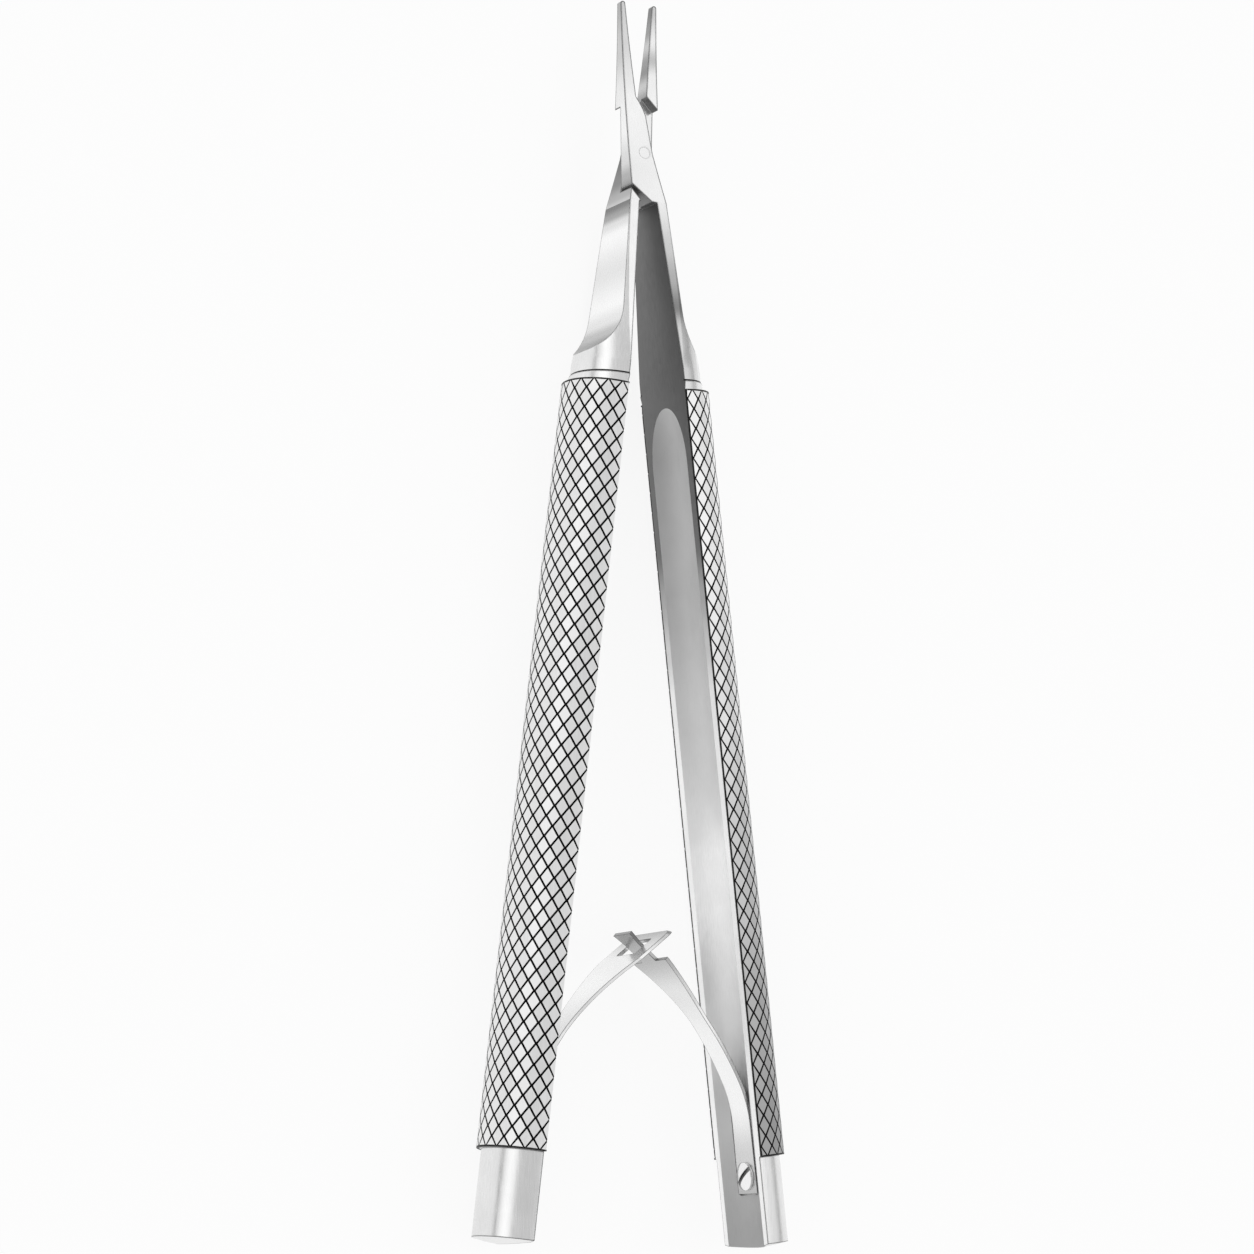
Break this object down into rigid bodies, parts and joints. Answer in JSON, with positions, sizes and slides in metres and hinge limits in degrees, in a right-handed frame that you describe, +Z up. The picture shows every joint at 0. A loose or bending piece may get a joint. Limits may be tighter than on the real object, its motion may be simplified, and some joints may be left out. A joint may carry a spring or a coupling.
{
  "type": "ophthalmic needle-holder forceps",
  "caption": "Scissor-action micro forceps with blunt tapered jaws, half-round knurled handles and hooked leaf springs that hold them open.",
  "frame": {"origin": "centre of the bounding box, on the flat surface that both handles lie on", "axes": "+Y along the instrument towards the jaw tips, +Z up along the pivot pin's axis, +X across from the rear arm's handle to the front arm's handle"},
  "size_m": [0.035, 0.129, 0.0095],
  "materials": {
    "arm_steel": "satin with polished necks and jaws",
    "pin_steel": "ground flush",
    "spring_steel": "fine brushed",
    "screw_steel": "turned and polished"
  },
  "bodies": {
    "rear": {"rear_arm": "arm_steel", "pivot_pin": "pin_steel", "window_spring": "spring_steel", "window_spring_screw": "screw_steel"},
    "front": {"front_arm": "arm_steel", "tongue_spring": "spring_steel", "tongue_spring_screw": "screw_steel"}
  },
  "joints": [
    {"name": "pivot", "type": "hinge", "parent": "rear", "child": "front", "pos_m": [0, 0.04797, 0.00475], "axis": [0, 0, -1], "range_deg": [0, 11.2], "stiffness_Nm_per_rad": 0.3, "deforming": ["tongue_spring", "window_spring"]}
  ]
}
